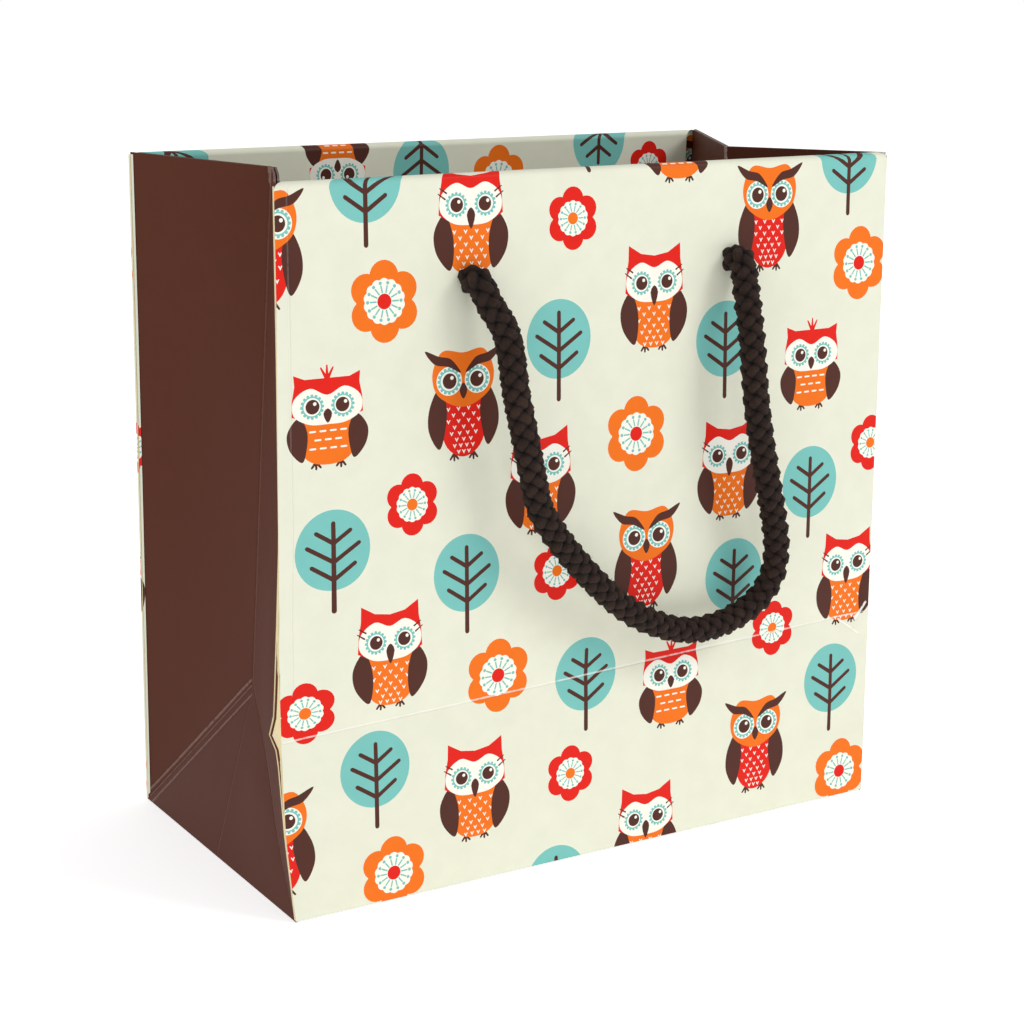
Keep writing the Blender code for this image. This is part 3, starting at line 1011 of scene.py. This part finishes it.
def side_gusset(side):
    body = f"{side}_gusset"
    near, far = ("back", "front") if side == "left" else ("front", "back")
    paint = GUSSET if side == "left" else GUSSET_RIGHT
    inward = SIDES[side] @ Vector((1, 0, 0))

    def triangle(i, j):
        a = CORNER.lerp(Vector((CORNER.x, -CORNER.y, 0)), i)
        p = a.lerp(FOOT, j * 0.999)
        if side == "left":
            p = bulged(p, smooth((i - 0.5) / 0.5) * (1 - smooth(j / GUSSET_REACH)), True)
        return SIDES[side] @ p

    tri = shell(f"{side}_gusset_foot", triangle, 24, 24, PAPER, [paint, INSIDE, paint], inward,
                lambda i, j: ((37 - 74 * i) * (1 - j), 36.4 * j))
    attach(tri, body)
    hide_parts(f"{side}_gusset_triangle")
    for half, name in ((1, near), (-1, far)):
        for layer, low, inset in (("half", 0.0, 0.0), ("hem", 0.66, 0.75)):
            place = gusset_half(side, half, inset)
            first = 0.010 if layer == "half" else 0.05

            def fitted(i, j):
                return place(first + (1 - first) * i, low + (1 - low) * j)

            inner = INSIDE if layer == "half" else paint
            def flat(i, j):
                t = low + (1 - low) * j
                return half * 37 * (1 - i), 36.4 * i * (1 - t) + 140 * t

            piece = shell(f"{side}_gusset_{name}_{layer}", fitted, 18, 44, PAPER, [paint, inner, paint],
                          inward, flat)
            diagonal = (CREASE_TOP - CORNER).normalized()
            mid = CORNER.lerp(CREASE_TOP, 0.5)
            inner_point = FOOT.lerp(CREASE_TOP, 0.4)
            toward = (inner_point - mid) - diagonal * (inner_point - mid).dot(diagonal)
            toward.normalize()
            start, end = mid + toward * 4.0, mid - toward * 4.0
            if half < 0:
                start, end = Vector((start.x, -start.y, start.z)), Vector((end.x, -end.y, end.z))
            start, end = SIDES[side] @ start, SIDES[side] @ end
            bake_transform(piece)
            if layer == "half":
                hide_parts(f"{body}_{name}_inner", f"{body}_{name}_outer")
            else:
                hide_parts(f"{side}_hem_{name}_inner", f"{side}_hem_{name}_outer")


def wrap_strip():
    """The printed sheet's narrow lap round the back left corner, onto the gusset."""
    place = gusset_half("left", 1)

    def lap(x, y):
        return place((x - 70) / 40, y / 140) + Vector((-0.12, 0, 0))

    shapes = shapes_in(70, 71.6, 0, 140, PLACES)
    strip = print_sheet("back_corner_lap", 70, 71.4, 0.5, 139.6, shapes, with_normal(lap, 0.05), 0.7)
    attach(strip, "left_gusset_back")


def finish_cad_nodes():
    nodes = frame["nodes"]
    paints = {
        "base_board": BOARD,
        "bottom_flap_back": plain_paper("base_cream", CREAM, 0.45),
        "bottom_flap_front": plain_paper("base_cream_inner", CREAM, 0.45),
        "bottom_flap_left": plain_paper("base_brown", BROWN, 0.45),
        "bottom_flap_right": plain_paper("base_brown_inner", BROWN, 0.45),
    }
    for name, material in paints.items():
        nodes[name].data.materials.clear()
        nodes[name].data.materials.append(material)


# ---------------------------------------------------------------- stage, light and camera


def stage():
    mesh = bpy.data.meshes.new("floor")
    s = 3.0
    mesh.from_pydata([(-s, -s, 0), (s, -s, 0), (s, s, 0), (-s, s, 0)], [], [[0, 1, 2, 3]])
    n = Nodes("studio_floor")
    n.shader.inputs["Base Color"].default_value = (0.93, 0.93, 0.93, 1)
    n.shader.inputs["Roughness"].default_value = 0.9
    n.shader.inputs["Specular IOR Level"].default_value = 0.0
    n.shader.inputs["Emission Color"].default_value = (1, 1, 1, 1)
    n.shader.inputs["Emission Strength"].default_value = 0.56
    mesh.materials.append(n.material)
    floor = bpy.data.objects.new("floor", mesh)
    floor.location.z = -0.0002
    bpy.context.scene.collection.objects.link(floor)
    world = bpy.data.worlds.new("studio")
    bpy.context.scene.world = world
    world.use_nodes = True
    background = world.node_tree.nodes["Background"]
    background.inputs[0].default_value = (1, 1, 1, 1)
    seen = world.node_tree.nodes.new("ShaderNodeLightPath").outputs["Is Camera Ray"]
    share = world.node_tree.nodes.new("ShaderNodeMapRange")
    share.inputs["To Min"].default_value = 0.57
    share.inputs["To Max"].default_value = 1.0
    world.node_tree.links.new(seen, share.inputs["Value"])
    world.node_tree.links.new(share.outputs["Result"], background.inputs[1])
    for name, spot, size, power in (
        ("key", (0.85, -1.0, 1.05), 0.55, 7.9),
        ("fill", (-1.5, -0.5, 0.9), 1.1, 2.0),
    ):
        light = bpy.data.lights.new(name, "AREA")
        light.size = size
        light.energy = power
        lamp = bpy.data.objects.new(name, light)
        bpy.context.scene.collection.objects.link(lamp)
        lamp.location = spot
        aim = Vector((0, 0, 0.06)) - Vector(spot)
        lamp.rotation_euler = aim.to_track_quat("-Z", "Y").to_euler()


def camera():
    data = bpy.data.cameras.new("camera")
    data.sensor_width = 36
    data.lens = 77.02
    data.shift_x, data.shift_y = 0.0176, 0.0749
    data.clip_start, data.clip_end = 0.01, 20
    obj = bpy.data.objects.new("camera", data)
    bpy.context.scene.collection.objects.link(obj)
    heading, tilt, roll = -0.5437, 1.2874, 0.0087
    turn = Matrix.Rotation(heading, 4, "Z") @ Matrix.Rotation(tilt, 4, "X") @ Matrix.Rotation(roll, 4, "Z")
    obj.matrix_world = Matrix.Translation((-0.2374, -0.3863, 0.1793)) @ turn
    bpy.context.scene.camera = obj


def main():
    scene = bpy.context.scene
    scene.view_settings.view_transform = "Standard"
    for old in [o for o in scene.objects if o.name in ("Cube", "Light", "Camera")]:
        bpy.data.objects.remove(old)
    camera()
    for side in ("front", "back"):
        handle(side)
        printed_side(side)
    for side in ("left", "right"):
        side_gusset(side)
    wrap_strip()
    finish_cad_nodes()
    stage()


main()
